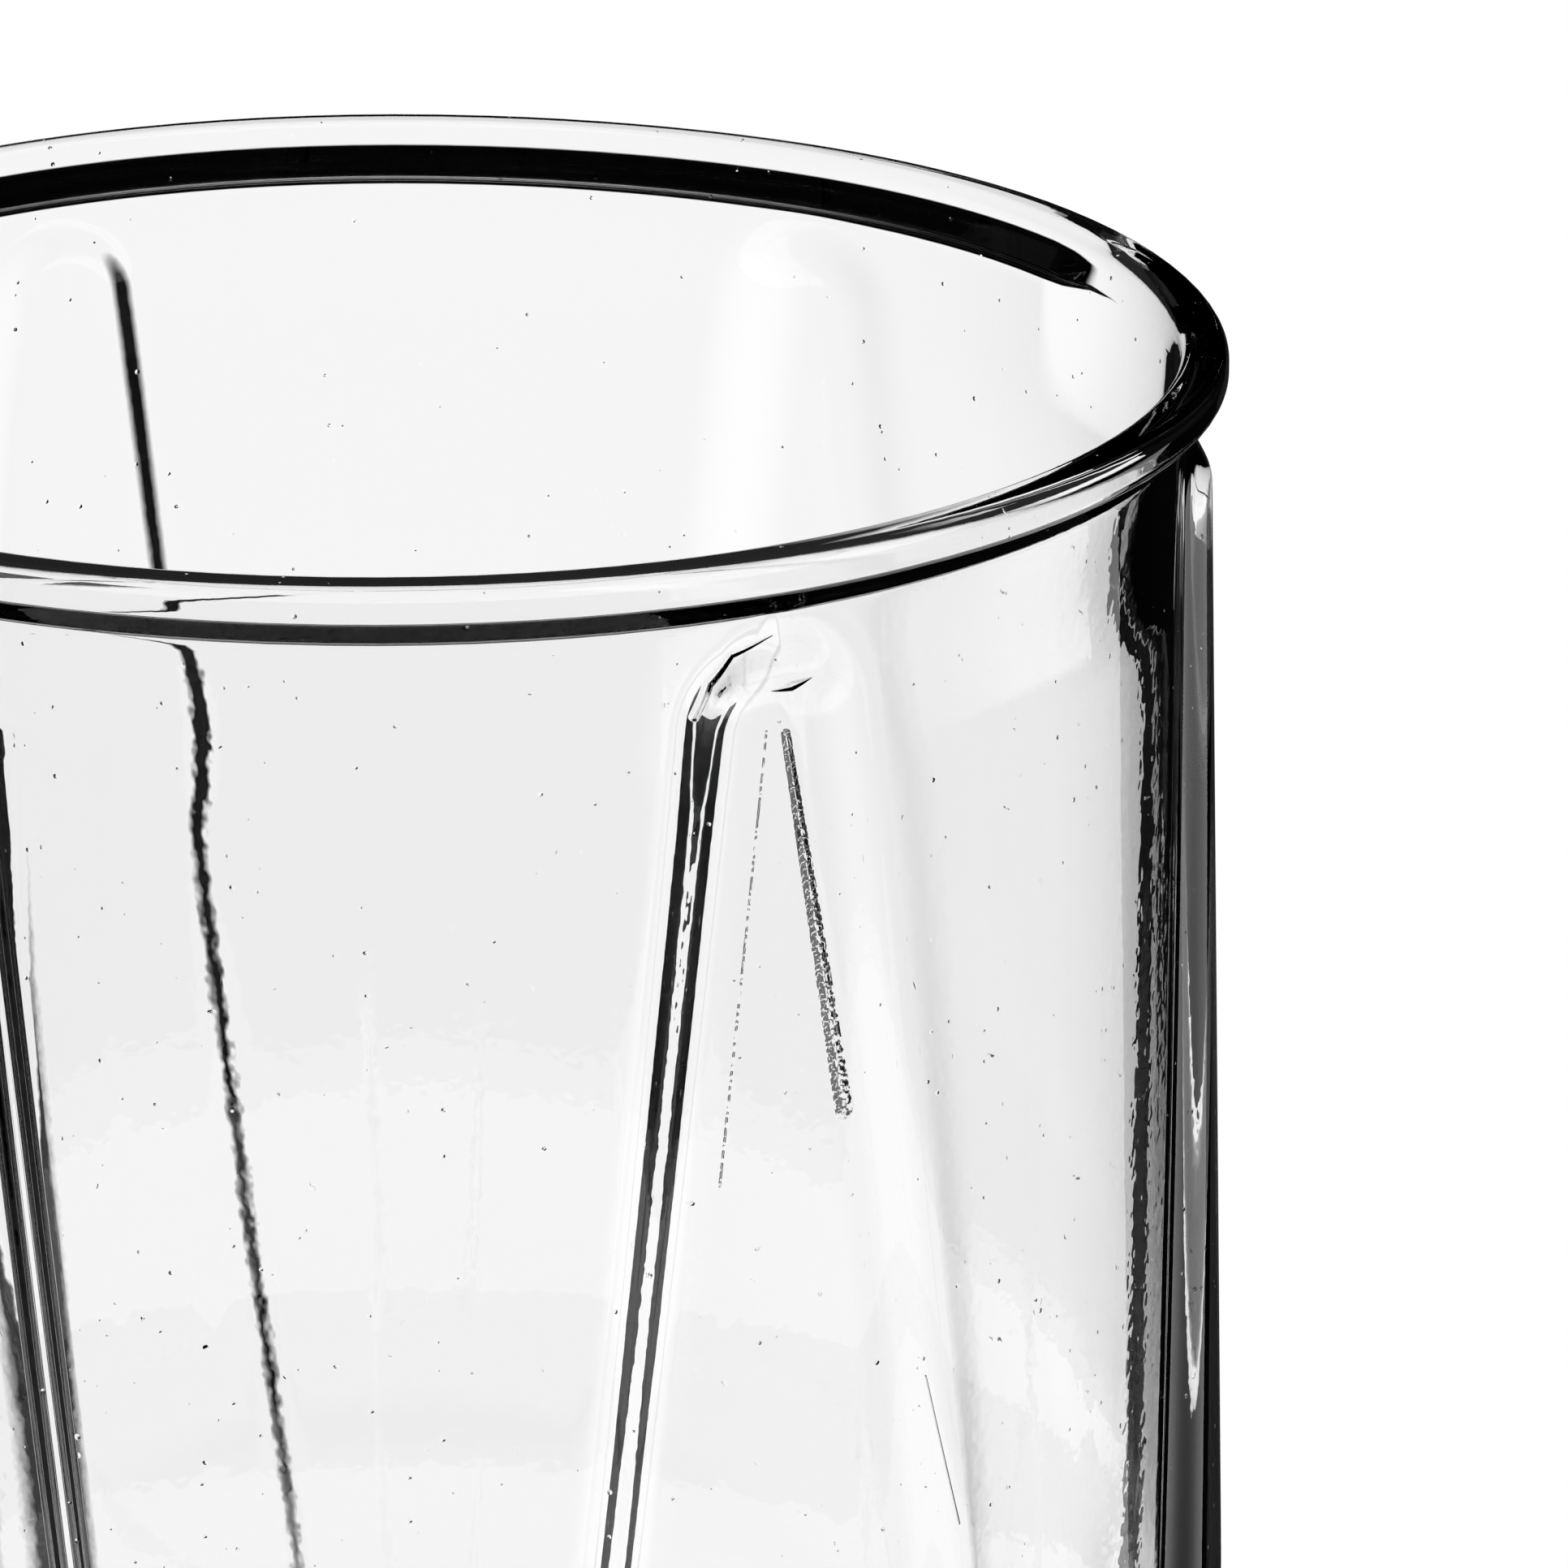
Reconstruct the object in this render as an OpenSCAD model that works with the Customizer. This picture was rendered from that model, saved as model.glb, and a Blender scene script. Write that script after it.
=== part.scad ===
// Pressed chai glass: a round tumbler with a beaded rim and six raised panels on the outside of its wall.
// The origin is the centre of the foot on the table. +Z is the axis of the glass, and a panel faces +X.

/* [Overall] */
// Height from the table to the top of the rim
height = 86; // [76:1:110]
// Outer diameter over the rim bead
rim_d = 62; // [50:0.5:80]

/* [Rim] */
// Thickness of the round bead at the mouth
bead_d = 2.1; // [1.9:0.1:2.6]
// Step from the outside of the bead in to the wall below it
bead_step = 1.55; // [1.2:0.05:1.8]
// Height of the sloped neck between the bead and the wall
neck_h = 0.5; // [0.3:0.1:1.2]
// Radius of the round edge on the inside of the mouth
lip_r = 1; // [0.6:0.1:1.4]

/* [Wall] */
// Thickness of the plain wall just below the rim
wall = 1.1; // [0.9:0.05:2]
// How far the outside of the plain wall swells from the neck to the belly
belly_flare = 0.97; // [0.4:0.05:2]
// Height above the table of the belly, where the wall is widest
belly_h = 36; // [24:1:50]
// How far the outside of the plain wall draws in from the belly to the foot
foot_draw = 0.4; // [0.2:0.05:2]
// How far the inside swells from the mouth to the belly
hollow_flare = 0.6; // [0.2:0.05:1]
// Thickness of the plain wall at the floor
wall_floor = 2.4; // [1.8:0.1:4]

/* [Base] */
// Thickness of the glass under the floor
base_t = 10; // [6:0.5:16]
// Radius of the inside corner round the floor
floor_round = 6; // [3:0.5:10]
// Radius of the outside corner at the foot
heel_r = 1.5; // [0.8:0.1:3]
// Width of the flat ring that the glass stands on
foot_ring_w = 7; // [4:0.5:10]
// Height of the hollow under the base
punt_h = 1.2; // [0.6:0.1:3]

/* [Panels] */
// Number of raised panels
panel_count = 6; // [5:1:7]
// Height of the panels above the plain wall
panel_rise = 0.95; // [0.6:0.05:1.6]
// Gap between the bead and the crown of a panel
crown_gap = 1.9; // [0.8:0.1:4]
// Radius of the round crown of a panel
crown_r = 2.6; // [2:0.1:3.4]
// Angle between each leg of a panel and the axis of the glass
leg_angle = 6.5; // [4:0.25:7.5]
// Height of the round heel of a panel
panel_heel_h = 6; // [3:0.5:10]

/* [Hidden] */
$fn = 180;

// Overrun of every cutting shape past what it trims
overrun = 2;
// Steps in a quarter of a profile arc and of a panel crown
arc_steps = 10;
// Angle below the level at which the neck runs into the bead
neck_turn = 60;
// How deep a panel is rooted in the wall, as a share of the wall
root_share = 0.5;

bead_r = bead_d / 2;
bead_z = height - bead_r;
bead_c = rim_d / 2 - bead_r;
neck_z = height - bead_d - neck_h;
neck_r = rim_d / 2 - bead_step;
belly_r = neck_r + belly_flare;
foot_r = belly_r - foot_draw;
mouth_r = neck_r - wall;
hollow_r = mouth_r + hollow_flare;
floor_r = foot_r - wall_floor;
ring_in_r = foot_r - heel_r - foot_ring_w;
punt_ball_r = (ring_in_r * ring_in_r + punt_h * punt_h) / (2 * punt_h);
punt_angle = asin(ring_in_r / punt_ball_r);
root_t = wall * root_share;

crown_z = height - bead_d - crown_gap - crown_r;
panel_foot_w = 2 * (crown_r / cos(leg_angle) + (crown_z + overrun) * tan(leg_angle));
blank_r = belly_r + panel_rise + overrun;

// Points of an arc round [r, z] from angle a to angle b
function arc(r, z, radius, a, b, steps) =
    [for (i = [0:steps]) let (t = a + (b - a) * i / steps) [r + radius * cos(t), z + radius * sin(t)]];

// Half profile of the glass, with its hollow
function glass_profile() = concat(
    arc(0, punt_h - punt_ball_r, punt_ball_r, 90, 90 - punt_angle, arc_steps),
    arc(foot_r - heel_r, heel_r, heel_r, -90, 0, arc_steps),
    [[belly_r, belly_h], [neck_r, neck_z]],
    arc(bead_c, bead_z, bead_r, -neck_turn, 90, 2 * arc_steps),
    arc(mouth_r + lip_r, height - lip_r, lip_r, 90, 180, arc_steps),
    [[hollow_r, belly_h]],
    arc(floor_r - floor_round, base_t + floor_round, floor_round, 0, -90, arc_steps),
    [[0, base_t]]
);

// Half profile of the ring that the panels are cut from, rooted in the wall
function crest_profile() = concat(
    [for (i = [0:arc_steps]) let (t = 90 * i / arc_steps)
        [foot_r + panel_rise * sin(t), heel_r + panel_heel_h * (1 - cos(t))]],
    [[belly_r + panel_rise, belly_h], [neck_r + panel_rise, neck_z]],
    [[neck_r - root_t, neck_z], [belly_r - root_t, belly_h], [foot_r - root_t, heel_r]]
);

// Outline of a panel seen from outside, [across, up]: a round crown on two straight legs
function panel_outline() = concat(
    arc(0, crown_z, crown_r, leg_angle, 180 - leg_angle, 2 * arc_steps),
    [[-panel_foot_w / 2, -overrun], [panel_foot_w / 2, -overrun]]
);

// One panel's blank, pushed out from the axis towards +X
module panel_blank() {
    rotate([90, 0, 90])
        linear_extrude(blank_r)
            polygon(panel_outline());
}

// The glass: one pressed piece
module tumbler() {
    color("whitesmoke", 0.45)
    union() {
        rotate_extrude()
            polygon(glass_profile());
        intersection() {
            rotate_extrude()
                polygon(crest_profile());
            for (i = [0:panel_count - 1])
                rotate(360 * i / panel_count)
                    panel_blank();
        }
    }
}

tumbler();
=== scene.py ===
"""Chai glass: one pressed tumbler, dressed as clear glass and set on a pale floor in a bright field."""

import logging
import math
from dataclasses import dataclass
from enum import Enum

import bpy
from mathutils import Matrix, Vector


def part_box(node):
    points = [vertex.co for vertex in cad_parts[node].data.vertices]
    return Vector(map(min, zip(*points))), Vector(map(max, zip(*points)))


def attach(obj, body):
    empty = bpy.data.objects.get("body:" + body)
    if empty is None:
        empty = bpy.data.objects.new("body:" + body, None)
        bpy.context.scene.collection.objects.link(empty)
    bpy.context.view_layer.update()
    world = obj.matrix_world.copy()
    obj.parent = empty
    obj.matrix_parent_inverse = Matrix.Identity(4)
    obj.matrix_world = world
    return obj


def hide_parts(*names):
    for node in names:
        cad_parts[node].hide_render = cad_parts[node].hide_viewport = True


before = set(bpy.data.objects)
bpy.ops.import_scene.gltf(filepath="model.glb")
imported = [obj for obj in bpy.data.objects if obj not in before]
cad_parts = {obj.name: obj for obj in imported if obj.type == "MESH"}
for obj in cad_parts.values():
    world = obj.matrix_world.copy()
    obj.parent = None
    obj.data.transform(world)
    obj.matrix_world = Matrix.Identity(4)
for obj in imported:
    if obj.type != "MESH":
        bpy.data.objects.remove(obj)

LOG = logging.getLogger("chai_glass")
MM = 0.001
WHITE = (1.0, 1.0, 1.0, 1.0)
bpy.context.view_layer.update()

Socket = bpy.types.NodeSocket
Sockets = bpy.types.bpy_prop_collection
Level = float | Socket
Point = tuple[float, float]
Triple = tuple[float, float, float]


class Side(Enum):
    """Which side of the wall a profile row belongs to, as the share of the panels' rise that it takes."""

    INSIDE = 0.0
    OUTSIDE = 1.0


class Curve(Enum):
    """How a ramp passes from its start to its end."""

    STRAIGHT = "LINEAR"
    SOFT = "SMOOTHSTEP"
    SOFTER = "SMOOTHERSTEP"


class NodeSheet:
    """A node tree under construction, with short calls for the nodes that the trees here use."""

    def __init__(self, tree: bpy.types.NodeTree) -> None:
        """Wrap the node tree to fill."""
        self.tree = tree

    @classmethod
    def fresh(cls, owner: bpy.types.Material | bpy.types.World) -> "NodeSheet":
        """Empty the tree of a material or a world, ready to fill.

        Args:
            owner: the material or the world.

        Returns:
            Its sheet.
        """
        owner.use_nodes = True
        owner.node_tree.nodes.clear()
        return cls(owner.node_tree)

    def node(self, kind: str, **settings: object) -> bpy.types.Node:
        """Add a node.

        Args:
            kind: the node's type name.
            settings: properties to set on it.

        Returns:
            The new node.
        """
        made = self.tree.nodes.new(kind)
        for name, value in settings.items():
            setattr(made, name, value)
        return made

    def feed(self, socket: Socket, value: object) -> None:
        """Link a socket into an input, or set the input to a plain value.

        Args:
            socket: the input.
            value: the socket or the value.
        """
        if isinstance(value, bpy.types.NodeSocket):
            self.tree.links.new(value, socket)
        else:
            socket.default_value = value

    def fed(self, kind: str, values: tuple[object, ...], **settings: object) -> bpy.types.Node:
        """Add a node with its first inputs fed in order.

        Args:
            kind: the node's type name.
            values: sockets or plain values for the inputs.
            settings: properties to set on it.

        Returns:
            The new node.
        """
        made = self.node(kind, **settings)
        for socket, value in zip(made.inputs, values):
            self.feed(socket, value)
        return made

    def math(self, operation: str, *values: Level) -> Socket:
        """Add a math node with its inputs in order."""
        return self.fed("ShaderNodeMath", values, operation=operation).outputs[0]

    def vector(self, operation: str, *values: Level | Vector | Triple) -> Socket:
        """Add a vector math node with its inputs in order, and give its number where it makes one."""
        made = self.fed("ShaderNodeVectorMath", values, operation=operation)
        return made.outputs["Value" if operation in ("DOT_PRODUCT", "LENGTH") else "Vector"]

    def axes(self, place: Socket) -> tuple[Socket, Socket, Socket]:
        """Split a place into its coordinates."""
        return tuple(self.fed("ShaderNodeSeparateXYZ", (place,)).outputs)

    def place(self, *coordinates: Level) -> Socket:
        """Join coordinates into a place."""
        return self.fed("ShaderNodeCombineXYZ", coordinates).outputs[0]

    def ramp(self, value: Level, low: Level, high: Level, to_low: Level = 0.0, to_high: Level = 1.0,
             curve: Curve = Curve.STRAIGHT) -> Socket:
        """Map a value from one range to another, held at both ends.

        Args:
            value: the value to map.
            low: start of the range it comes from.
            high: end of the range it comes from.
            to_low: result at the start.
            to_high: result at the end.
            curve: how it passes between them.

        Returns:
            The mapped value.
        """
        given = (value, low, high, to_low, to_high)
        return self.fed("ShaderNodeMapRange", given, interpolation_type=curve.value, clamp=True).outputs[0]

    def noise(self, place: Socket, size: float, detail: float) -> Socket:
        """Add a noise from 0 to 1.

        Args:
            place: coordinates.
            size: length of its waves.
            detail: the finer detail on them.

        Returns:
            The noise.
        """
        made = self.node("ShaderNodeTexNoise", noise_dimensions="3D")
        self.feed(made.inputs["Vector"], place)
        made.inputs["Scale"].default_value = 1.0 / size
        made.inputs["Detail"].default_value = detail
        return made.outputs[0]

    def bump(self, height: Socket, distance: float, normal: Socket | None, invert: bool = False) -> Socket:
        """Bump a normal.

        Args:
            height: the height at each point.
            distance: what a height of 1 stands for.
            normal: the normal to bump further, if any.
            invert: whether the height goes inwards.

        Returns:
            The bumped normal.
        """
        made = self.node("ShaderNodeBump", invert=invert)
        made.inputs["Strength"].default_value = 1.0
        made.inputs["Distance"].default_value = distance
        self.feed(made.inputs["Height"], height)
        if normal is not None:
            self.feed(made.inputs["Normal"], normal)
        return made.outputs["Normal"]

    def matt(self, tone: float) -> Socket:
        """Add a matt grey surface.

        Args:
            tone: its grey.

        Returns:
            The shader.
        """
        made = self.node("ShaderNodeBsdfDiffuse")
        made.inputs["Color"].default_value = (tone, tone, tone, 1.0)
        return made.outputs[0]

    def finish(self, surface: Socket) -> bpy.types.Node:
        """Make a shader the material's surface.

        Args:
            surface: the shader.

        Returns:
            The output node.
        """
        made = self.node("ShaderNodeOutputMaterial")
        self.feed(made.inputs["Surface"], surface)
        return made


def stood(name: str, data: bpy.types.ID) -> bpy.types.Object:
    """Make an object and put it in the scene.

    Args:
        name: its name.
        data: its mesh, camera or lamp.

    Returns:
        The object.
    """
    made = bpy.data.objects.new(name, data)
    bpy.context.scene.collection.objects.link(made)
    return made


@dataclass(frozen=True)
class Mark:
    """A groove that the mould left, between two places given as degrees round and drop below the top.

    Drop, half widths at the two ends and depth are in millimetres. Grain is how much a noise breaks it up.
    """

    start: Point
    end: Point
    half_widths: Point
    depth: float
    grain: float = 0.0


@dataclass(frozen=True)
class MouldMarks:
    """The marks on the outside of the wall, under the crown of the front panel and beside its leg."""

    top: float
    wall_r: float
    grain_size: float = 0.16 * MM
    grain_range: Point = (0.42, 0.58)
    marks: tuple[Mark, ...] = (
        Mark((-59.6, 6.6), (-55.4, 21.0), (0.20, 0.44), 0.34, 0.5),
        Mark((-61.0, 6.4), (-64.7, 23.0), (0.05, 0.06), 0.04, 0.8),
        Mark((-58.9, 5.0), (-60.5, 5.0), (0.20, 0.02), 0.16),
        Mark((-58.9, 5.0), (-57.1, 4.9), (0.20, 0.02), 0.16),
        Mark((-65.5, 5.85), (-64.4, 4.7), (0.16, 0.16), 0.13),
        Mark((-64.4, 4.7), (-62.6, 3.8), (0.16, 0.12), 0.12),
        Mark((-62.6, 3.8), (-59.6, 3.3), (0.12, 0.03), 0.10),
        Mark((-47.6, 32.4), (-44.2, 38.7), (0.06, 0.06), 0.05),
    )

    def unrolled(self, place: Point) -> Vector:
        """A place in degrees and millimetres, on the wall rolled flat."""
        return Vector((math.radians(place[0]) * self.wall_r, place[1] * MM, 0.0))

    def groove(self, sheet: NodeSheet, mark: Mark, spot: Socket, grain: Socket) -> Socket:
        """Work out how deep one mark is at a point.

        Args:
            sheet: the material's tree.
            mark: the mark.
            spot: the point on the wall rolled flat, as run round the axis and drop from the top.
            grain: a fine noise from 0 to 1.

        Returns:
            The depth.
        """
        start = self.unrolled(mark.start)
        run = self.unrolled(mark.end) - start
        offset = sheet.vector("SUBTRACT", spot, start)
        along = sheet.ramp(sheet.vector("DOT_PRODUCT", offset, run / run.length_squared), 0.0, 1.0)
        apart = sheet.vector("LENGTH", sheet.vector("MULTIPLY_ADD", along, -run, offset))
        first, last = (half * MM for half in mark.half_widths)
        half = sheet.math("MULTIPLY_ADD", along, last - first, first)
        groove = sheet.ramp(apart, 0.0, half, mark.depth * MM, 0.0, Curve.SOFT)
        if mark.grain == 0.0:
            return groove
        rough = sheet.math("MULTIPLY_ADD", grain, mark.grain, 1.0 - mark.grain)
        return sheet.math("MULTIPLY", groove, rough)

    def bump(self, sheet: NodeSheet, place: Socket, normal: Socket) -> Socket:
        """Press the marks into the outside of the wall.

        Args:
            sheet: the material's tree.
            place: object coordinates.
            normal: the normal to bump further.

        Returns:
            The bumped normal.
        """
        x, y, z = sheet.axes(place)
        around = sheet.math("MULTIPLY", sheet.math("ARCTAN2", y, x), self.wall_r)
        spot = sheet.place(around, sheet.math("SUBTRACT", self.top, z))
        radius = sheet.math("SQRT", sheet.math("MULTIPLY_ADD", x, x, sheet.math("MULTIPLY", y, y)))
        grain = sheet.ramp(sheet.noise(place, self.grain_size, 0.0), *self.grain_range)
        depth: Level = 0.0
        for mark in self.marks:
            depth = sheet.math("MAXIMUM", self.groove(sheet, mark, spot, grain), depth)
        depth = sheet.math("MULTIPLY", depth, sheet.math("GREATER_THAN", radius, self.wall_r))
        return sheet.bump(depth, 1.0, normal, invert=True)


@dataclass(frozen=True)
class Waves:
    """An unevenness of the skin: the length and height of its waves, and the finer detail on them."""

    length: float
    height: float
    detail: float

    def bump(self, sheet: NodeSheet, place: Socket, normal: Socket | None) -> Socket:
        """Add the waves to a normal, or to the plain one where none is given."""
        return sheet.bump(sheet.noise(place, self.length, self.detail), self.height, normal)


@dataclass(frozen=True)
class ClearGlass:
    """Colourless, fire-polished soda-lime glass with fine seeds and a slightly uneven skin."""

    marks: MouldMarks
    ior: float = 1.52
    tint: Triple = (0.93, 0.96, 0.94)
    density: float = 2.0
    seed_cell: float = 1.2 * MM
    seed_radius_share: float = 0.105
    seed_height: float = 0.045 * MM
    slow_skin: Waves = Waves(9.0 * MM, 0.004 * MM, 0.0)
    fine_skin: Waves = Waves(0.6 * MM, 0.002 * MM, 1.0)

    def material(self) -> bpy.types.Material:
        """Build the glass: clear, with its skin, mould marks and seeds in the bump.

        Returns:
            The material.
        """
        made = bpy.data.materials.new("clear_glass")
        sheet = NodeSheet.fresh(made)
        shell = sheet.node("ShaderNodeBsdfPrincipled")
        shell.inputs["Base Color"].default_value = WHITE
        shell.inputs["Roughness"].default_value = 0.0
        shell.inputs["IOR"].default_value = self.ior
        shell.inputs["Transmission Weight"].default_value = 1.0
        body = sheet.node("ShaderNodeVolumeAbsorption")
        body.inputs["Color"].default_value = (*self.tint, 1.0)
        body.inputs["Density"].default_value = self.density
        place = sheet.node("ShaderNodeTexCoord").outputs["Object"]
        normal = self.slow_skin.bump(sheet, place, None)
        normal = self.fine_skin.bump(sheet, place, normal)
        normal = self.marks.bump(sheet, place, normal)
        sheet.feed(shell.inputs["Normal"], self.seeds(sheet, place, normal))
        output = sheet.finish(shell.outputs["BSDF"])
        sheet.feed(output.inputs["Volume"], body.outputs["Volume"])
        return made

    def seeds(self, sheet: NodeSheet, place: Socket, normal: Socket) -> Socket:
        """Add the fine seeds and specks that dot the surface.

        Args:
            sheet: the material's tree.
            place: object coordinates.
            normal: the normal to bump further.

        Returns:
            The bumped normal.
        """
        cells = sheet.node("ShaderNodeTexVoronoi", feature="F1", distance="EUCLIDEAN")
        sheet.feed(cells.inputs["Vector"], place)
        cells.inputs["Scale"].default_value = 1.0 / self.seed_cell
        parts = sheet.fed("ShaderNodeSeparateColor", (cells.outputs["Color"],))
        radius = sheet.math("MULTIPLY", parts.outputs[0], self.seed_radius_share)
        dome = sheet.ramp(cells.outputs["Distance"], 0.0, radius, 1.0, 0.0, Curve.SOFT)
        return sheet.bump(dome, self.seed_height, normal)


@dataclass
class Tumbler:
    """The glass: a turned blank, pressed with raised panels between the bead and the foot.

    A tuple with a value for each panel starts at the panel that faces +X and goes round towards +Y. Before
    and after are a panel's two edges in that direction. Edges and shares are parts of the edge's width and
    of the rise, and turns are in degrees. A ledge is the part of an edge that lies flat half way up, -1 for
    none. The rim's waves have a count round the mouth, a depth and a start in degrees.
    """

    finish: ClearGlass
    height: float
    rim_r: float
    bead_top_w: float = 1.37 * MM
    bead_top_r: float = 0.65 * MM
    bead_drop: float = 1.0 * MM
    bead_under_r: float = 0.65 * MM
    bead_slope: float = math.radians(45.0)
    bead_h: float = 2.35 * MM
    bead_step: float = 1.55 * MM
    neck_round: float = 0.4 * MM
    lip_h: float = 0.5 * MM
    lip_w: float = 0.45 * MM
    throat_h: float = 9.0 * MM
    wall: float = 0.8 * MM
    flare: float = 0.97 * MM
    inside_flare: float = 0.6 * MM
    wall_floor: float = 2.4 * MM
    belly_h: float = 36.0 * MM
    foot_in: float = 0.4 * MM
    base_t: float = 10.0 * MM
    floor_round: float = 6.0 * MM
    heel_r: float = 1.5 * MM
    foot_ring_w: float = 7.0 * MM
    punt_h: float = 1.2 * MM
    panels: int = 6
    rise_top: float = 0.93 * MM
    rise_low: float = 0.94 * MM
    crown_gap: float = 1.65 * MM
    crown_r: float = 2.6 * MM
    leg_angle: float = math.radians(6.5)
    panel_heel_h: float = 6.0 * MM
    edge_w: float = 3.4 * MM
    edges_before: tuple[float, ...] = (1.0, 1.5, 0.66, 1.0, 1.0, 0.68)
    edges_after: tuple[float, ...] = (1.0, 1.5, 1.0, 1.0, 0.36, 1.55)
    top_shares: tuple[float, ...] = (1.0, 0.55, 0.42, 1.0, 0.9, 1.3)
    low_shares: tuple[float, ...] = (1.0, 0.55, 0.56, 1.0, 0.9, 1.3)
    ledges: tuple[float, ...] = (-1.0, -1.0, -1.0, -1.0, 0.2, -1.0)
    turns: tuple[float, ...] = (0.0, 0.0, 0.8, 0.0, -0.9, 0.0)
    rim_waves: tuple[Triple, ...] = ((2.0, 0.10 * MM, 20.0), (5.0, 0.06 * MM, 70.0))
    fill_turns: Point = (6.0, 33.0)
    fill_soft: float = 4.0
    fill_h: float = 6.0 * MM
    face_steps: int = 5
    edge_steps: int = 18
    valley_steps: int = 7
    least_face: float = 0.2
    weld: float = 0.001 * MM

    def __post_init__(self) -> None:
        """Work out the radii and heights that several rows share."""
        self.neck_r = self.rim_r - self.bead_step
        self.belly_r = self.neck_r + self.flare
        self.foot_r = self.belly_r - self.foot_in
        self.mouth_r = self.neck_r - self.wall
        self.hollow_r = self.mouth_r + self.inside_flare
        self.floor_r = self.foot_r - self.wall_floor
        self.bead_z = self.height - self.bead_drop
        self.neck_z = self.height - self.bead_h - self.neck_round
        self.crown_z = self.height - self.bead_h - self.crown_gap - self.crown_r

    def wall_at(self, z: float) -> float:
        """Find the outer radius of the plain wall.

        Args:
            z: the height.

        Returns:
            The radius there.
        """
        if z > self.belly_h:
            return self.belly_r - self.flare * (z - self.belly_h) / (self.neck_z - self.belly_h)
        return self.belly_r - self.foot_in * (self.belly_h - z) / (self.belly_h - self.heel_r)

    @staticmethod
    def arc(centre: Point, reach: Point, start: float, end: float, steps: int) -> list[Point]:
        """Points of an arc of a circle or an oval, both ends included.

        Args:
            centre: radius and height of the centre.
            reach: half width and half height of the oval.
            start: first angle in degrees.
            end: last angle in degrees.
            steps: number of steps.

        Returns:
            The points as radius and height.
        """
        angles = [math.radians(start + (end - start) * i / steps) for i in range(steps + 1)]
        return [(centre[0] + reach[0] * math.cos(a), centre[1] + reach[1] * math.sin(a)) for a in angles]

    @staticmethod
    def line(start: Point, end: Point, steps: int) -> list[Point]:
        """Points of a straight run, without its ends."""
        return [(start[0] + (end[0] - start[0]) * i / steps, start[1] + (end[1] - start[1]) * i / steps)
                for i in range(1, steps)]

    @staticmethod
    def bend(start: Point, knee: Point, end: Point, steps: int) -> list[Point]:
        """Points of a soft bend that leaves its start and meets its end along the lines to a knee.

        Args:
            start: where the bend leaves.
            knee: where the two lines cross.
            end: where the bend arrives.
            steps: number of steps.

        Returns:
            The points after the start, the end included.
        """
        points = []
        for s in (i / steps for i in range(1, steps + 1)):
            near, middle, far = (1.0 - s) ** 2, 2.0 * s * (1.0 - s), s * s
            points.append(tuple(near * a + middle * k + far * e for a, k, e in zip(start, knee, end)))
        return points

    def outside_rows(self) -> list[Point]:
        """Profile rows from under the base, up the outside and over the bead.

        Returns:
            The rows as radius and height.
        """
        ring_out = self.foot_r - self.heel_r
        ring_in = ring_out - self.foot_ring_w
        punt = [(ring_in * share, self.punt_h * (1.0 - share ** 2)) for share in (i / 8 for i in range(8))]
        ring = [(ring_in, 0.0), *self.line((ring_in, 0.0), (ring_out, 0.0), 4)]
        heel = self.arc((ring_out, self.heel_r), (self.heel_r, self.heel_r), -90.0, 0.0, 8)
        stops = [(self.heel_r, 0), (self.heel_r + self.panel_heel_h, 12), (self.crown_z - self.crown_r, 30),
                 (self.neck_z, 34)]
        wall = []
        for (low, _), (high, steps) in zip(stops, stops[1:]):
            heights = [low + (high - low) * i / steps for i in range(1, steps + 1)]
            wall += [(self.wall_at(z), z) for z in heights]
        return punt + ring + heel + wall + self.bead_rows()

    def bead_rows(self) -> list[Point]:
        """Rows of the neck's hollow and of the bead, up to the inside of the lip.

        Returns:
            The rows as radius and height.
        """
        turn = math.degrees(self.bead_slope)
        under_c = (self.rim_r - self.bead_under_r, self.bead_z)
        under = self.arc(under_c, (self.bead_under_r, self.bead_under_r), -turn, 0.0, 10)
        drop = under[0][1] - (self.height - self.bead_h)
        slope_end = (under[0][0] - drop / math.tan(self.bead_slope), self.height - self.bead_h)
        neck = (self.neck_r, self.neck_z)
        hollow = self.bend(neck, (self.neck_r, self.height - self.bead_h), slope_end, 8)
        slope = self.line(slope_end, under[0], 8)
        top_c = (self.rim_r - self.bead_top_r, self.height - self.bead_top_r)
        top = self.arc(top_c, (self.bead_top_r, self.bead_top_r), 0.0, 90.0, 14)
        flat = self.line(top[-1], (self.rim_r - self.bead_top_w, self.height), 6)
        return hollow + slope + under + self.line(under[-1], top[0], 4) + top + flat

    def inside_rows(self) -> list[Point]:
        """Profile rows from the lip down the inside to the middle of the floor.

        Returns:
            The rows as radius and height.
        """
        lip_c = (self.rim_r - self.bead_top_w, self.height - self.lip_h)
        lip = self.arc(lip_c, (self.lip_w, self.lip_h), 90.0, 180.0, 16)
        throat = (self.mouth_r, self.height - self.lip_h - self.throat_h)
        ease = [(share * share * (3.0 - 2.0 * share), share) for share in (i / 16 for i in range(1, 16))]
        funnel = [(lip[-1][0] + (throat[0] - lip[-1][0]) * side, lip[-1][1] - self.throat_h * down)
                  for side, down in ease]
        belly = (self.hollow_r, self.belly_h)
        corner = (self.floor_r - self.floor_round, self.base_t + self.floor_round)
        floor = self.arc(corner, (self.floor_round, self.floor_round), 0.0, -90.0, 10)
        middle = (0.0, self.base_t)
        wall = [throat, *self.line(throat, belly, 20), belly, *self.line(belly, floor[0], 6)]
        return [*lip, *funnel, *wall, *floor, *self.line(floor[-1], middle, 5), middle]

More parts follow.
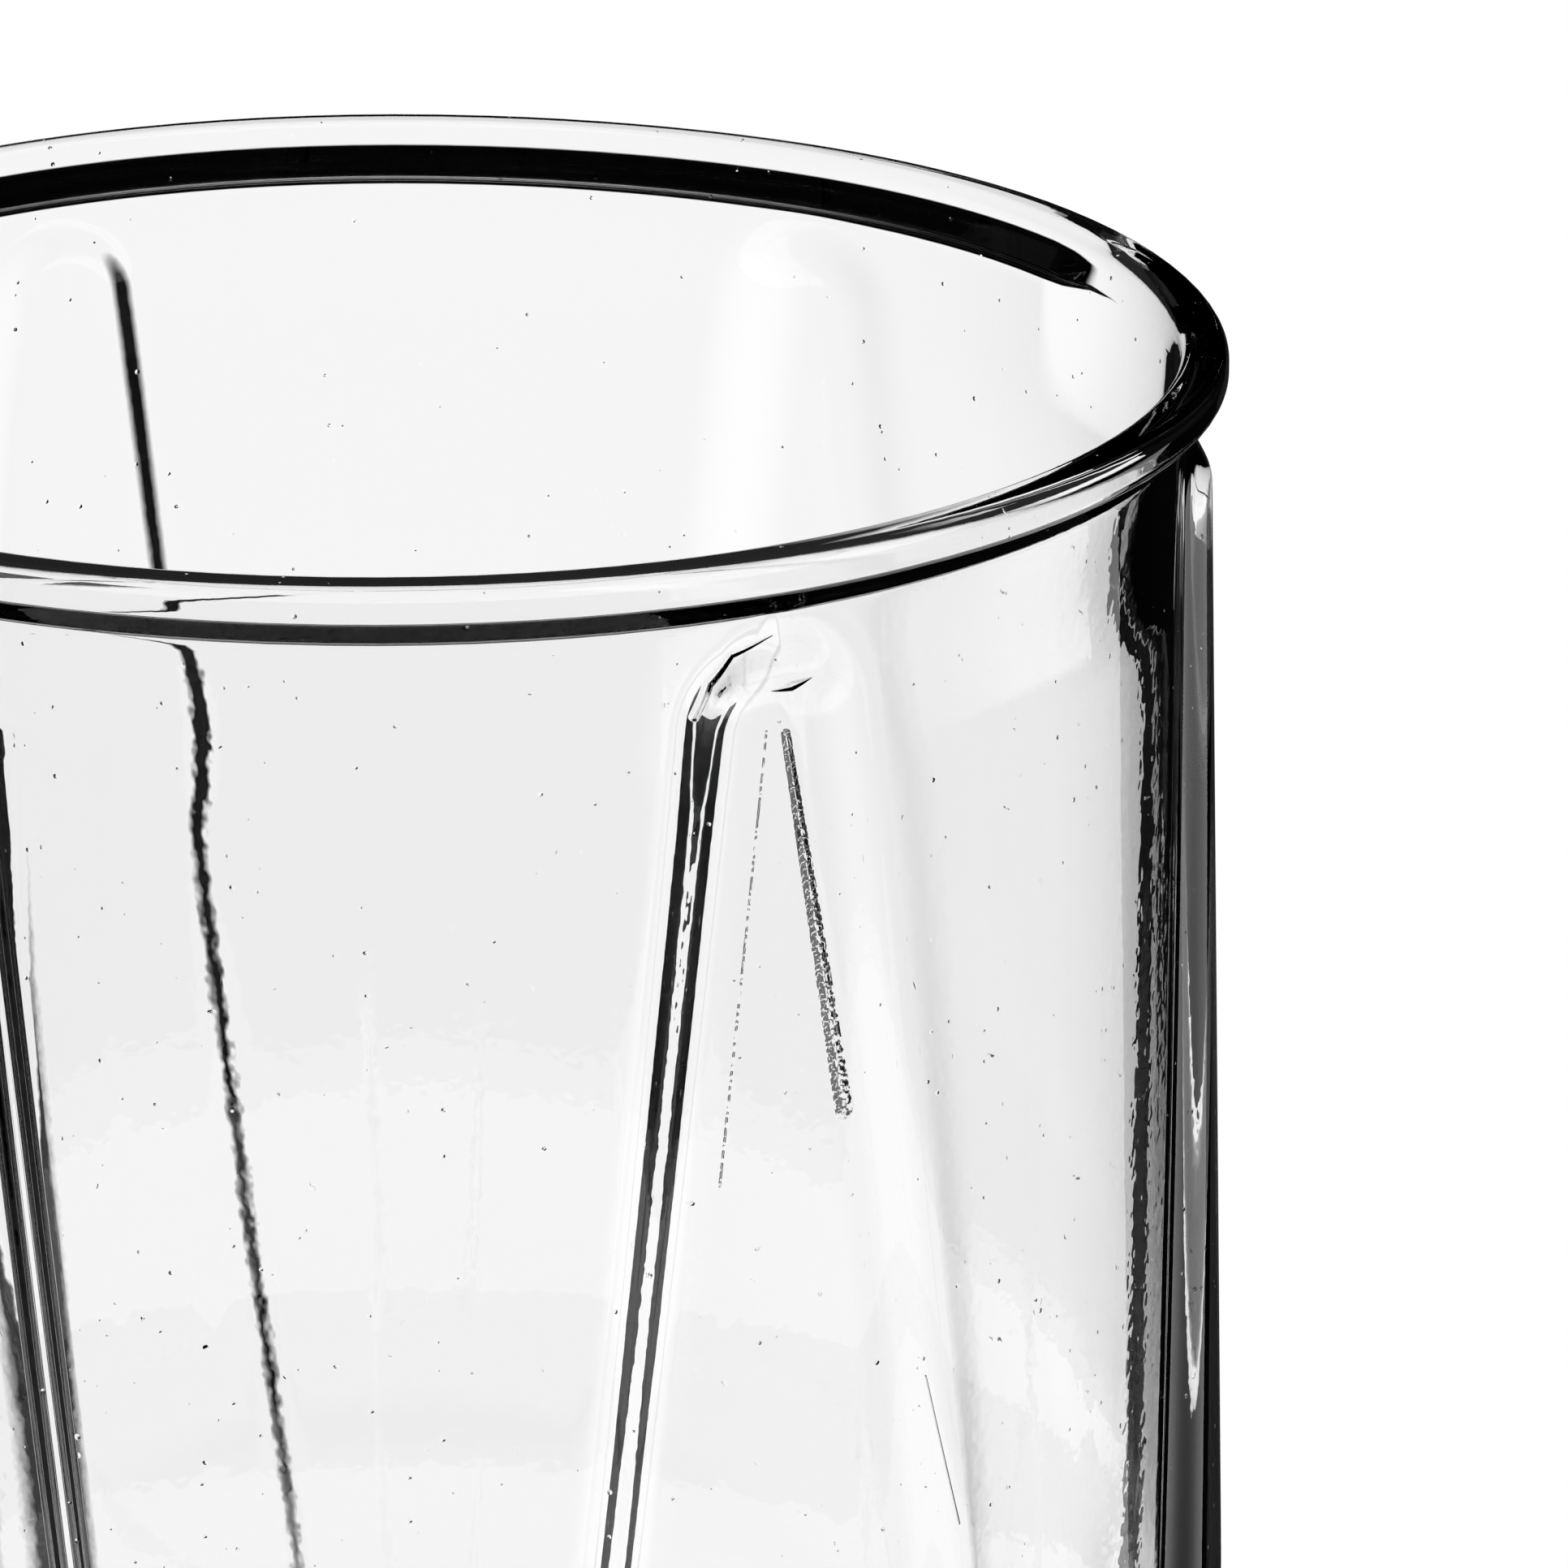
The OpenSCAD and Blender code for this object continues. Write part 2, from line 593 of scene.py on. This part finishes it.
    def blank(self) -> bpy.types.Object:
        """Draw the half profile as a line of points that the press turns and shapes.

        Returns:
            The profile object.
        """
        outside, inside = self.outside_rows(), self.inside_rows()
        rows = outside + inside
        mesh = bpy.data.meshes.new("tumbler_profile")
        mesh.from_pydata([(r, 0.0, z) for r, z in rows], [(i, i + 1) for i in range(len(rows) - 1)], [])
        sides = [Side.OUTSIDE.value] * len(outside) + [Side.INSIDE.value] * len(inside)
        mesh.attributes.new("side", "FLOAT", "POINT").data.foreach_set("value", sides)
        return stood("tumbler_profile", mesh)

    def panel_ring(self) -> bpy.types.Object:
        """Mark the panels as a ring of points with their own values, as pressed glass comes out uneven.

        Returns:
            The ring.
        """
        turns = [math.tau * i / self.panels for i in range(self.panels)]
        places = [(self.neck_r * math.cos(t), self.neck_r * math.sin(t), self.crown_z) for t in turns]
        mesh = bpy.data.meshes.new("panel_ring")
        mesh.from_pydata(places, [], [])
        for name, values in (("edge_before", self.edges_before), ("edge_after", self.edges_after),
                             ("top_share", self.top_shares), ("low_share", self.low_shares),
                             ("ledge", self.ledges), ("turn", self.turns)):
            mesh.attributes.new(name, "FLOAT", "POINT").data.foreach_set("value", values)
        return stood("panel_ring", mesh)

    def sizes(self) -> dict[str, float]:
        """Inputs of the press by name, counts as whole numbers."""
        return {
            "Panels": self.panels,
            "Face Steps": self.face_steps,
            "Edge Steps": self.edge_steps,
            "Valley Steps": self.valley_steps,
            "Wall Radius": self.neck_r,
            "Crown Height": self.crown_z,
            "Rim Height": self.neck_z,
            "Bead Height": self.bead_z,
            "Bead Radius": self.rim_r,
            "Fill Height": self.fill_h,
            "Fill Start": self.fill_turns[0],
            "Fill End": self.fill_turns[1],
            "Fill Soft": self.fill_soft,
            "Crown Radius": self.crown_r,
            "Leg Angle": self.leg_angle,
            "Edge Width": self.edge_w,
            "Rise Top": self.rise_top,
            "Rise Low": self.rise_low,
            "Belly Height": self.belly_h,
            "Heel Height": self.heel_r,
            "Panel Heel": self.panel_heel_h,
        }

    def press(self, material: bpy.types.Material) -> bpy.types.NodeTree:
        """Build the tree that turns the profile round the axis and raises the panels.

        Args:
            material: the finish to set on the result.

        Returns:
            The geometry node tree.
        """
        tree = bpy.data.node_groups.new("tumbler_press", "GeometryNodeTree")
        tree.interface.new_socket("Geometry", in_out="INPUT", socket_type="NodeSocketGeometry")
        tree.interface.new_socket("Panel Ring", in_out="INPUT", socket_type="NodeSocketObject")
        for name, size in self.sizes().items():
            kind = "NodeSocketInt" if isinstance(size, int) else "NodeSocketFloat"
            tree.interface.new_socket(name, in_out="INPUT", socket_type=kind)
        tree.interface.new_socket("Geometry", in_out="OUTPUT", socket_type="NodeSocketGeometry")
        sheet = NodeSheet(tree)
        given = sheet.node("NodeGroupInput").outputs
        rows, columns, row, column = self.grid_places(sheet, given)
        grid = sheet.node("GeometryNodeMeshGrid")
        sheet.feed(grid.inputs["Vertices X"], sheet.math("ADD", columns, 1.0))
        sheet.feed(grid.inputs["Vertices Y"], rows)
        profile = self.profile_values(sheet, given["Geometry"], row)
        sector, step = self.sectors(sheet, given, column)
        own = {name: self.panel_value(sheet, given, sector, name)
               for name in ("edge_before", "edge_after", "top_share", "low_share", "ledge", "turn")}
        # The columns take each edge's own width up to the middle of the panel. Over the face the lift passes
        # softly from one width to the other.
        face = given["Face Steps"]
        spread = self.edge_width(sheet, given, own, step, (-0.5, 0.5))
        edge = self.edge_width(sheet, given, own, step, (sheet.math("MULTIPLY", face, -1.0), face))
        turn, across = self.turn_and_across(sheet, given, (sector, step), spread, profile["height"])
        turn = sheet.math("ADD", turn, sheet.math("RADIANS", own["turn"]))
        lift = self.panel_lift(sheet, given, across, (edge, own["ledge"]), profile)
        share = sheet.ramp(profile["height"], given["Belly Height"], given["Crown Height"],
                           own["low_share"], own["top_share"])
        radius = sheet.math("ADD", profile["radius"], sheet.math("MULTIPLY", lift, share))
        radius = sheet.math("ADD", radius, self.neck_fill(sheet, given, turn, profile))
        height = sheet.math("SUBTRACT", profile["height"], self.rim_dip(sheet, given, turn, profile))
        place = sheet.place(sheet.math("MULTIPLY", radius, sheet.math("COSINE", turn)),
                            sheet.math("MULTIPLY", radius, sheet.math("SINE", turn)), height)
        self.close(sheet, grid.outputs["Mesh"], place, material)
        return tree

    @staticmethod
    def half_steps(sheet: NodeSheet, given: Sockets) -> Socket:
        """Columns from the middle of a panel to the middle of the valley beside it."""
        raised = sheet.math("ADD", given["Face Steps"], given["Edge Steps"])
        return sheet.math("ADD", raised, given["Valley Steps"])

    def grid_places(self, sheet: NodeSheet, given: Sockets) -> tuple[Socket, Socket, Socket, Socket]:
        """Number the rows and columns of the turned grid.

        Args:
            sheet: the press tree.
            given: the tree's inputs.

        Returns:
            Row count, column count, and each point's row and column.
        """
        size = sheet.node("GeometryNodeAttributeDomainSize", component="MESH")
        sheet.feed(size.inputs["Geometry"], given["Geometry"])
        rows = size.outputs["Point Count"]
        whole = sheet.math("MULTIPLY", self.half_steps(sheet, given), 2.0)
        columns = sheet.math("MULTIPLY", whole, given["Panels"])
        index = sheet.node("GeometryNodeInputIndex").outputs[0]
        column = sheet.math("FLOOR", sheet.math("DIVIDE", sheet.math("ADD", index, 0.5), rows))
        row = sheet.math("SUBTRACT", index, sheet.math("MULTIPLY", column, rows))
        return rows, columns, row, column

    @staticmethod
    def sample(sheet: NodeSheet, source: Socket, index: Socket, name: str) -> Socket:
        """Read a named number of one of a geometry's points.

        Args:
            sheet: the press tree.
            source: the geometry.
            index: the point's number.
            name: the attribute.

        Returns:
            The number.
        """
        field = sheet.node("GeometryNodeInputNamedAttribute", data_type="FLOAT")
        field.inputs["Name"].default_value = name
        made = sheet.node("GeometryNodeSampleIndex", data_type="FLOAT", domain="POINT")
        sheet.feed(made.inputs["Geometry"], source)
        sheet.feed(made.inputs["Value"], field.outputs[0])
        sheet.feed(made.inputs["Index"], index)
        return made.outputs[0]

    def profile_values(self, sheet: NodeSheet, profile: Socket, row: Socket) -> dict[str, Socket]:
        """Read the profile at a row.

        Args:
            sheet: the press tree.
            profile: the profile geometry.
            row: the row to read.

        Returns:
            Its radius, height and side.
        """
        spot = sheet.node("GeometryNodeSampleIndex", data_type="FLOAT_VECTOR", domain="POINT")
        sheet.feed(spot.inputs["Geometry"], profile)
        sheet.feed(spot.inputs["Value"], sheet.node("GeometryNodeInputPosition").outputs[0])
        sheet.feed(spot.inputs["Index"], row)
        radius, _, height = sheet.axes(spot.outputs[0])
        return {"radius": radius, "height": height, "side": self.sample(sheet, profile, row, "side")}

    def sectors(self, sheet: NodeSheet, given: Sockets, column: Socket) -> tuple[Socket, Socket]:
        """Find the panel that a column is nearest to.

        Args:
            sheet: the press tree.
            given: the tree's inputs.
            column: each point's column.

        Returns:
            The panel's number, and the columns from its middle, with a sign.
        """
        half = self.half_steps(sheet, given)
        whole = sheet.math("MULTIPLY", half, 2.0)
        sector = sheet.math("FLOOR", sheet.math("DIVIDE", sheet.math("ADD", column, half), whole))
        return sector, sheet.math("SUBTRACT", column, sheet.math("MULTIPLY", sector, whole))

    def panel_value(self, sheet: NodeSheet, given: Sockets, sector: Socket, name: str) -> Socket:
        """Read one panel's own value off the ring.

        Args:
            sheet: the press tree.
            given: the tree's inputs.
            sector: the panel's number.
            name: the attribute on the ring.

        Returns:
            The value.
        """
        ring = sheet.node("GeometryNodeObjectInfo", transform_space="ORIGINAL")
        sheet.feed(ring.inputs["Object"], given["Panel Ring"])
        index = sheet.math("FLOORED_MODULO", sector, given["Panels"])
        return self.sample(sheet, ring.outputs["Geometry"], index, name)

    @staticmethod
    def edge_width(sheet: NodeSheet, given: Sockets, own: dict[str, Socket], step: Socket,
                   limits: tuple[Level, Level]) -> Socket:
        """Find the width of the sloped edge on a point's own side of its panel.

        Args:
            sheet: the press tree.
            given: the tree's inputs.
            own: the panel's own values.
            step: columns from the panel's middle.
            limits: the step up to which the first edge's width holds, and that from which the second's does.

        Returns:
            The width, one edge's passing into the other's between the two steps.
        """
        share = sheet.ramp(step, *limits, own["edge_before"], own["edge_after"])
        return sheet.math("MULTIPLY", given["Edge Width"], share)

    def turn_and_across(self, sheet: NodeSheet, given: Sockets, at: tuple[Socket, Socket], edge_w: Socket,
                        height: Socket) -> tuple[Socket, Socket]:
        """Spread the columns so that they follow the legs, close together across the sloped edges.

        Args:
            sheet: the press tree.
            given: the tree's inputs.
            at: each point's panel, and the columns from the panel's middle.
            edge_w: width of the panel's sloped edge.
            height: each point's height.

        Returns:
            The angle round the axis, and the angle from the middle of the nearest panel.
        """
        sector, step = at
        face = given["Face Steps"]
        raised = sheet.math("ADD", face, given["Edge Steps"])
        away = sheet.math("ABSOLUTE", step)
        below = sheet.math("MAXIMUM", sheet.math("SUBTRACT", given["Crown Height"], height), 0.0)
        leg = sheet.math("DIVIDE", given["Crown Radius"], sheet.math("COSINE", given["Leg Angle"]))
        leg = sheet.math("MULTIPLY_ADD", below, sheet.math("TANGENT", given["Leg Angle"]), leg)
        leg = sheet.math("DIVIDE", leg, given["Wall Radius"])
        edge_turn = sheet.math("DIVIDE", edge_w, given["Wall Radius"])
        start = sheet.math("MULTIPLY_ADD", edge_turn, -0.5, leg)
        start = sheet.math("MAXIMUM", start, sheet.math("MULTIPLY", leg, self.least_face))
        end = sheet.math("MULTIPLY_ADD", edge_turn, 0.5, leg)
        pitch = sheet.math("DIVIDE", math.tau, given["Panels"])
        rest = sheet.math("SUBTRACT", sheet.math("MULTIPLY", pitch, 0.5), end)
        first = sheet.ramp(away, 0.0, face, 0.0, start)
        second = sheet.ramp(away, face, raised, 0.0, sheet.math("SUBTRACT", end, start))
        third = sheet.ramp(away, raised, self.half_steps(sheet, given), 0.0, rest)
        across = sheet.math("ADD", sheet.math("ADD", first, second), third)
        middle = sheet.math("MULTIPLY", sector, pitch)
        return sheet.math("MULTIPLY_ADD", sheet.math("SIGN", step), across, middle), across

    @staticmethod
    def panel_lift(sheet: NodeSheet, given: Sockets, across: Socket, edge: tuple[Socket, Socket],
                   profile: dict[str, Socket]) -> Socket:
        """Work out how far a panel stands out of the wall at each point.

        Args:
            sheet: the press tree.
            given: the tree's inputs.
            across: angle from the middle of the nearest panel.
            edge: width of the panel's sloped edge, and the part of it that the ledge takes.
            profile: the point's radius, height and side.

        Returns:
            The lift along the radius.
        """
        up = sheet.math("SUBTRACT", profile["height"], given["Crown Height"])
        along = sheet.math("MULTIPLY", across, given["Wall Radius"])
        sine, cosine = sheet.math("SINE", given["Leg Angle"]), sheet.math("COSINE", given["Leg Angle"])
        fall = sheet.math("MULTIPLY", up, cosine)
        on_leg = sheet.math("GREATER_THAN", sheet.math("MULTIPLY", along, sine), fall)
        from_leg = sheet.math("MULTIPLY_ADD", along, cosine, sheet.math("MULTIPLY", up, sine))
        from_crown = sheet.math("MULTIPLY_ADD", along, along, sheet.math("MULTIPLY", up, up))
        from_crown = sheet.math("SQRT", from_crown)
        gap = sheet.math("SUBTRACT", from_leg, from_crown)
        outside = sheet.math("MULTIPLY_ADD", gap, on_leg, from_crown)
        outside = sheet.math("SUBTRACT", outside, given["Crown Radius"])
        half_edge = sheet.math("MULTIPLY", edge[0], 0.5)
        ledge = sheet.math("MULTIPLY", half_edge, edge[1])
        top, inner = (sheet.math("MULTIPLY", limit, -1.0) for limit in (ledge, half_edge))
        lower = sheet.ramp(outside, half_edge, ledge, 0.0, 0.5, Curve.SOFTER)
        upper = sheet.ramp(outside, top, inner, 0.0, 0.5, Curve.SOFTER)
        rise = sheet.ramp(profile["height"], given["Belly Height"], given["Crown Height"],
                          given["Rise Low"], given["Rise Top"])
        heel_top = sheet.math("ADD", given["Heel Height"], given["Panel Heel"])
        left = sheet.ramp(profile["height"], given["Heel Height"], heel_top, 1.0, 0.0)
        heel = sheet.math("SQRT", sheet.math("SUBTRACT", 1.0, sheet.math("MULTIPLY", left, left)))
        lift = sheet.math("MULTIPLY", sheet.math("MULTIPLY", sheet.math("ADD", lower, upper), rise), heel)
        return sheet.math("MULTIPLY", lift, profile["side"])

    def rim_dip(self, sheet: NodeSheet, given: Sockets, turn: Socket, profile: dict[str, Socket]) -> Socket:
        """Let the rim dip a little in slow waves round the mouth, as fire polishing leaves it.

        Args:
            sheet: the press tree.
            given: the tree's inputs.
            turn: each point's angle round the axis.
            profile: the point's radius, height and side.

        Returns:
            The dip, none below the crowns of the panels.
        """
        dip: Level = 0.0
        for count, depth, start in self.rim_waves:
            phase = sheet.math("MULTIPLY_ADD", turn, count, math.radians(start))
            half = sheet.math("MULTIPLY_ADD", sheet.math("SINE", phase), 0.5 * depth, 0.5 * depth)
            dip = sheet.math("ADD", half, dip)
        near = sheet.ramp(profile["height"], given["Crown Height"], given["Rim Height"], curve=Curve.SOFT)
        return sheet.math("MULTIPLY", dip, near)

    @staticmethod
    def neck_fill(sheet: NodeSheet, given: Sockets, turn: Socket, profile: dict[str, Socket]) -> Socket:
        """Fill the hollow under the bead along the stretch where the press ran over.

        Args:
            sheet: the press tree.
            given: the tree's inputs.
            turn: each point's angle round the axis.
            profile: the point's radius, height and side.

        Returns:
            What the fill adds to the radius.
        """
        angle = sheet.math("DEGREES", turn)
        start, end, soft = given["Fill Start"], given["Fill End"], given["Fill Soft"]
        begun = sheet.ramp(angle, start, sheet.math("ADD", start, soft), curve=Curve.SOFT)
        ended = sheet.ramp(angle, end, sheet.math("SUBTRACT", end, soft), curve=Curve.SOFT)
        low = sheet.math("SUBTRACT", given["Rim Height"], given["Fill Height"])
        full = sheet.ramp(profile["height"], low, given["Bead Height"], given["Wall Radius"],
                          given["Bead Radius"], Curve.SOFT)
        more = sheet.math("MAXIMUM", sheet.math("SUBTRACT", full, profile["radius"]), 0.0)
        under = sheet.math("LESS_THAN", profile["height"], given["Bead Height"])
        more = sheet.math("MULTIPLY", sheet.math("MULTIPLY", more, under), profile["side"])
        return sheet.math("MULTIPLY", more, sheet.math("MULTIPLY", begun, ended))

    def close(self, sheet: NodeSheet, mesh: Socket, place: Socket, material: bpy.types.Material) -> None:
        """Put the points in place, close the seam and the poles, and set the finish.

        Args:
            sheet: the press tree.
            mesh: the flat grid.
            place: each point's place.
            material: the finish.
        """
        moved = sheet.node("GeometryNodeSetPosition")
        sheet.feed(moved.inputs["Geometry"], mesh)
        sheet.feed(moved.inputs["Position"], place)
        welded = sheet.node("GeometryNodeMergeByDistance")
        welded.inputs["Distance"].default_value = self.weld
        smooth = sheet.node("GeometryNodeSetShadeSmooth")
        real = sheet.node("GeometryNodeRealizeInstances")
        dressed = sheet.node("GeometryNodeSetMaterial")
        dressed.inputs["Material"].default_value = material
        steps = (moved, welded, smooth, real, dressed, sheet.node("NodeGroupOutput"))
        for before, after in zip(steps, steps[1:]):
            sheet.feed(after.inputs["Geometry"], before.outputs[0])

    def build(self) -> bpy.types.Object:
        """Press the glass and make it a plain mesh that stands for the CAD tumbler.

        Returns:
            The finished piece.
        """
        material = self.finish.material()
        blank, ring = self.blank(), self.panel_ring()
        tree = self.press(material)
        pressed = blank.modifiers.new("press", "NODES")
        pressed.node_group = tree
        values = self.sizes() | {"Panel Ring": ring}
        for item in tree.interface.items_tree:
            if item.in_out == "INPUT" and item.name in values:
                pressed[item.identifier] = values[item.name]
        bpy.context.view_layer.update()
        seen = blank.evaluated_get(bpy.context.evaluated_depsgraph_get())
        mesh = bpy.data.meshes.new_from_object(seen)
        mesh.name = "pressed_tumbler"
        blank.modifiers.clear()
        bpy.data.objects.remove(blank)
        bpy.data.objects.remove(ring)
        piece = stood("pressed_tumbler", mesh)
        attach(piece, "root")
        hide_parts("tumbler")
        return piece


@dataclass
class Studio:
    """Pale floor, white field between black cards, soft light and the camera.

    A card has its distance behind the glass and its two ends, measured to the right. Sky and caught are
    climbs in degrees. The dark ranges are parts of a direction towards the camera or to the right, from
    plain to dark.
    """

    glass: Tumbler
    floor_r: float = 75.0 * MM
    floor_sides: int = 96
    floor_tone: float = 0.96
    image_px: int = 1932
    focal_px: float = 13257.0
    rim_px: Point = (485.3, 407.8)
    near_clip: float = 10.0 * MM
    distance: float = 400.0 * MM
    elevation: float = math.radians(16.56)
    azimuth: float = math.radians(4.33)
    aim_rounds: int = 20
    sky_top: float = -5.0
    sky_soft: float = 2.0
    card_tall: float = 260.0 * MM
    card_tone: float = 0.004
    left_card: Triple = (100.0 * MM, -22.5 * MM, -260.0 * MM)
    left_soft: float = 3.0 * MM
    right_card: Triple = (400.0 * MM, 214.0 * MM, 560.0 * MM)
    caught: Point = (-28.0, -12.0)
    dark_front: Point = (-0.3, 0.1)
    dark_back: Point = (-0.77, -0.82)
    dark_left: Point = (0.3, 0.0)
    gloss: float = 0.02
    gain_range: Point = (0.04, 0.17)
    right_gain: float = 1.1
    lamp_at: Triple = (-0.15, -0.1, 0.6)
    lamp_w: float = 0.6
    lamp_power: float = 1.2

    def camera(self) -> bpy.types.Object:
        """Place the camera so that the middle of the rim lands on its pixel in the photograph.

        Returns:
            The camera.
        """
        data = bpy.data.cameras.new("camera")
        data.sensor_fit = "HORIZONTAL"
        data.lens = data.sensor_width * self.focal_px / self.image_px
        data.clip_start = self.near_clip
        made = stood("camera", data)
        side = (self.rim_px[0] - self.image_px / 2) / self.focal_px
        above = (self.image_px / 2 - self.rim_px[1]) / self.focal_px
        sight = Vector((0.0, math.cos(self.elevation), -math.sin(self.elevation)))
        pitch, yaw = -self.elevation, 0.0
        for _ in range(self.aim_rounds):
            level = Vector((math.sin(yaw), math.cos(yaw), 0.0))
            ahead = level * math.cos(pitch) + Vector((0.0, 0.0, math.sin(pitch)))
            right = Vector((math.cos(yaw), -math.sin(yaw), 0.0))
            up = right.cross(ahead)
            ray = (ahead + right * side + up * above).normalized()
            pitch += math.asin(sight.z) - math.asin(ray.z)
            yaw -= math.atan2(ray.x, ray.y)
        turn = Matrix.Rotation(self.azimuth, 4, "Z")
        stand = Matrix((right, up, -ahead)).transposed().to_4x4()
        stand.translation = Vector((0.0, 0.0, self.glass.height)) - ray * self.distance
        made.matrix_world = turn @ stand
        bpy.context.scene.camera = made
        return made

    def world(self) -> None:
        """Light the scene evenly, and let the glass alone see a white field under a dark ceiling."""
        made = bpy.data.worlds.new("studio")
        bpy.context.scene.world = made
        sheet = NodeSheet.fresh(made)
        path = sheet.node("ShaderNodeLightPath").outputs
        through = sheet.math("MAXIMUM", path["Is Glossy Ray"], path["Is Transmission Ray"])
        through = sheet.math("MULTIPLY", through, sheet.math("LESS_THAN", path["Diffuse Depth"], 0.5))
        plain = sheet.math("SUBTRACT", 1.0, through)
        sky = sheet.node("ShaderNodeBackground")
        sky.inputs["Color"].default_value = WHITE
        level = sheet.math("MULTIPLY_ADD", self.field(sheet, path), through, plain)
        sheet.feed(sky.inputs["Strength"], level)
        sheet.feed(sheet.node("ShaderNodeOutputWorld").inputs["Surface"], sky.outputs[0])

    def field(self, sheet: NodeSheet, path: Sockets) -> Socket:
        """Work out how bright the glass sees the field in each direction.

        Args:
            sheet: the world's tree.
            path: what the light has been through.

        Returns:
            The brightness.
        """
        heading = sheet.node("ShaderNodeTexCoord").outputs["Generated"]
        front = (math.sin(self.azimuth), -math.cos(self.azimuth), 0.0)
        to_front = sheet.vector("DOT_PRODUCT", heading, front)
        to_right = sheet.vector("DOT_PRODUCT", heading, (-front[1], front[0], 0.0))
        climb = sheet.math("DEGREES", sheet.math("ARCSINE", sheet.axes(heading)[2]))
        soft = self.sky_soft
        bright = sheet.ramp(climb, self.sky_top + soft, self.sky_top - soft, curve=Curve.SOFT)
        # Light reflected inside the glass finds a dark band low down.
        low, high = self.caught
        dark = sheet.math("MINIMUM", path["Transmission Depth"], 1.0)
        dark = sheet.math("MULTIPLY", dark, sheet.ramp(climb, low, low + soft))
        dark = sheet.math("MULTIPLY", dark, sheet.ramp(climb, high, high - soft))
        # All reflected light finds the front, the straight back and the left dark.
        for part, limits in ((to_front, self.dark_front), (to_front, self.dark_back),
                             (to_right, self.dark_left)):
            dark = sheet.math("MAXIMUM", dark, sheet.ramp(part, *limits))
        dark = sheet.math("MULTIPLY", dark, sheet.math("MINIMUM", path["Glossy Depth"], 1.0))
        # Light reflected twice finds nothing bright.
        dark = sheet.math("MAXIMUM", dark, sheet.ramp(path["Glossy Depth"], 1.0, 2.0))
        bright = sheet.math("MULTIPLY", bright, sheet.ramp(dark, 0.0, 1.0, 1.0, self.gloss))
        return sheet.math("MULTIPLY", bright, sheet.ramp(to_right, *self.gain_range, 1.0, self.right_gain))

    def cards(self) -> bpy.types.Object:
        """Stand a black card on each side of the field behind the glass, for the glass alone to see.

        Returns:
            The cards as one object, the left one with a soft inner end.
        """
        places, faces = [], []
        for back, near, far in (self.left_card, self.right_card):
            faces.append([len(places) + i for i in range(4)])
            places += [(near, back, -self.card_tall), (far, back, -self.card_tall),
                       (far, back, self.card_tall), (near, back, self.card_tall)]
        mesh = bpy.data.meshes.new("flags")
        mesh.from_pydata(places, [], faces)
        mesh.transform(Matrix.Rotation(self.azimuth, 4, "Z"))
        made = stood("flags", mesh)
        cloth = bpy.data.materials.new("black_cloth")
        sheet = NodeSheet.fresh(cloth)
        place = sheet.node("ShaderNodeTexCoord").outputs["Object"]
        to_right = (math.cos(self.azimuth), math.sin(self.azimuth), 0.0)
        reach = sheet.vector("DOT_PRODUCT", place, to_right)
        near = self.left_card[1]
        shade = sheet.ramp(reach, near, near - self.left_soft)
        shade = sheet.math("MAXIMUM", shade, sheet.math("GREATER_THAN", reach, 0.0))
        clear = sheet.node("ShaderNodeBsdfTransparent").outputs[0]
        blend = sheet.fed("ShaderNodeMixShader", (shade, clear, sheet.matt(self.card_tone)))
        sheet.finish(blend.outputs[0])
        mesh.materials.append(cloth)
        made.visible_camera = made.visible_diffuse = made.visible_shadow = False
        return made

    def floor(self) -> bpy.types.Object:
        """Lay a round pale floor under the glass, plain white where the glass shows it.

        Returns:
            The floor.
        """
        turns = [math.tau * i / self.floor_sides for i in range(self.floor_sides)]
        ring = [(self.floor_r * math.cos(t), self.floor_r * math.sin(t), 0.0) for t in turns]
        mesh = bpy.data.meshes.new("floor")
        mesh.from_pydata(ring, [], [list(range(self.floor_sides))])
        made = stood("floor", mesh)
        paper = bpy.data.materials.new("pale_floor")
        sheet = NodeSheet.fresh(paper)
        path = sheet.node("ShaderNodeLightPath").outputs
        through = sheet.math("MAXIMUM", path["Is Glossy Ray"], path["Is Transmission Ray"])
        glow = sheet.node("ShaderNodeEmission")
        glow.inputs["Strength"].default_value = 1.0
        blend = sheet.fed("ShaderNodeMixShader", (through, sheet.matt(self.floor_tone), glow.outputs[0]))
        sheet.finish(blend.outputs[0])
        mesh.materials.append(paper)
        return made

    def lamp(self) -> bpy.types.Object:
        """Hang one wide soft lamp over the glass.

        Returns:
            The lamp.
        """
        data = bpy.data.lights.new("softbox", "AREA")
        data.shape = "DISK"
        data.size = self.lamp_w
        data.energy = self.lamp_power
        made = stood("softbox", data)
        made.location = self.lamp_at
        made.rotation_euler = (-Vector(self.lamp_at)).to_track_quat("-Z", "Y").to_euler()
        made.visible_glossy = False
        made.visible_transmission = False
        return made

    def set_up(self) -> None:
        """Build the whole set."""
        bpy.context.scene.view_settings.view_transform = "Standard"
        self.camera()
        self.world()
        self.cards()
        self.floor()
        self.lamp()


def main() -> None:
    """Build the glass and its set, and log the glass's face count."""
    logging.basicConfig(level=logging.INFO)
    _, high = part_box("tumbler")
    marks = MouldMarks(top=high.z, wall_r=high.y - Tumbler.bead_step)
    glass = Tumbler(finish=ClearGlass(marks=marks), height=high.z, rim_r=high.y)
    piece = glass.build()
    LOG.info("%s: %d faces", piece.name, len(piece.data.polygons))
    Studio(glass=glass).set_up()


if __name__ == "__main__":
    main()
